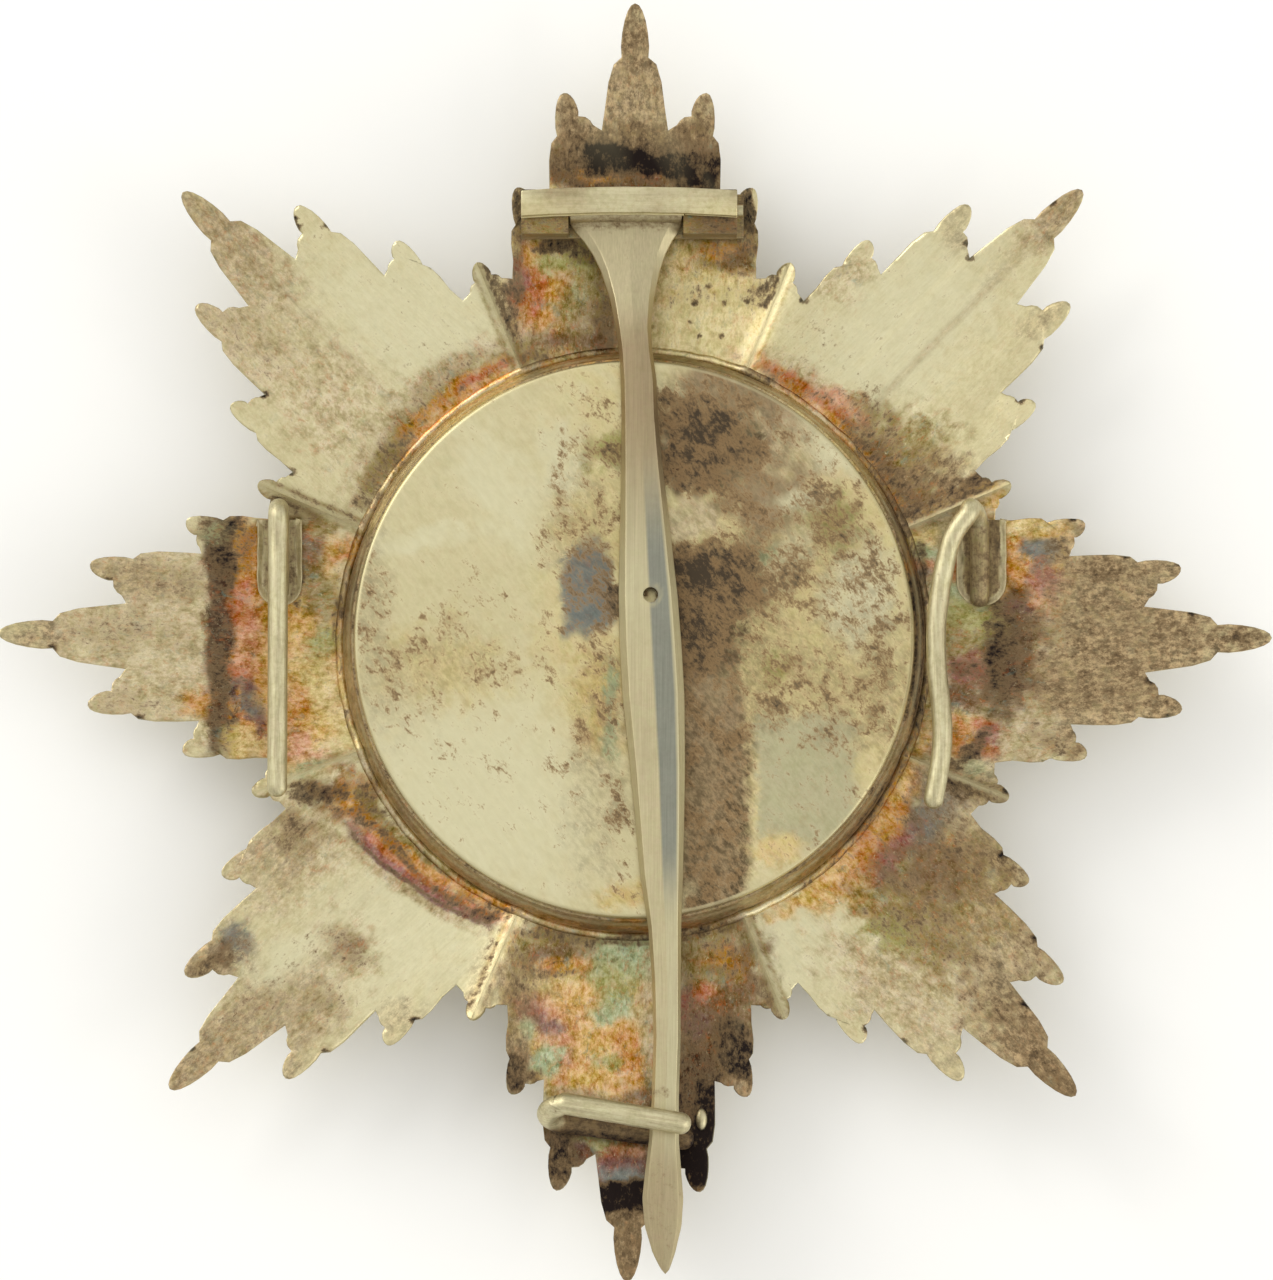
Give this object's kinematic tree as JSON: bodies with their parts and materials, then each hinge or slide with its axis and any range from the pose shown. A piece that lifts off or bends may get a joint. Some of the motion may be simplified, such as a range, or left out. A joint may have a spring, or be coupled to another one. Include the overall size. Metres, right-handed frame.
{
  "type": "breast star of an order, with pin, catch and side hooks",
  "caption": "Eight-pointed silver breast star with rayed arms round a drum, and on its back a hinged pin, a wire catch and two side hooks.",
  "frame": {"origin": "on the star's axis, in the flat plane of the front medallion that it lies on", "axes": "+Z out of the back of the star, +Y towards its top, where the pin is hinged, +X to the right as seen from the back"},
  "size_m": [0.085, 0.0858, 0.0109],
  "materials": {
    "arms_silver": "cast and filed silver, toned brown, orange and violet in patches",
    "collar_silver": "turned silver, toned brown",
    "lid_silver": "rolled silver, half polished, with brown and blue-grey stains",
    "front_silver": "turned silver, satin",
    "hinge_silver": "folded silver strip, toned",
    "pin_silver": "forged and filed silver, satin",
    "wire_silver": "drawn silver wire, satin"
  },
  "bodies": {
    "star": {"star_sheet": "arms_silver", "hub_collar": "collar_silver", "back_lid": "lid_silver", "front_ring": "front_silver", "front_disc": "front_silver", "hinge_box": "hinge_silver", "hinge_rod": "wire_silver", "catch_hook": "wire_silver", "solder_drop": "wire_silver", "side_hook_left": "wire_silver", "side_hook_right": "wire_silver"},
    "pin": {"pin": "pin_silver"}
  },
  "joints": [
    {"name": "pin_swing", "type": "hinge", "parent": "star", "child": "pin", "pos_m": [0, 0.0287, 0.0082], "axis": [-1, 0, 0], "range_deg": [0, 60]}
  ]
}
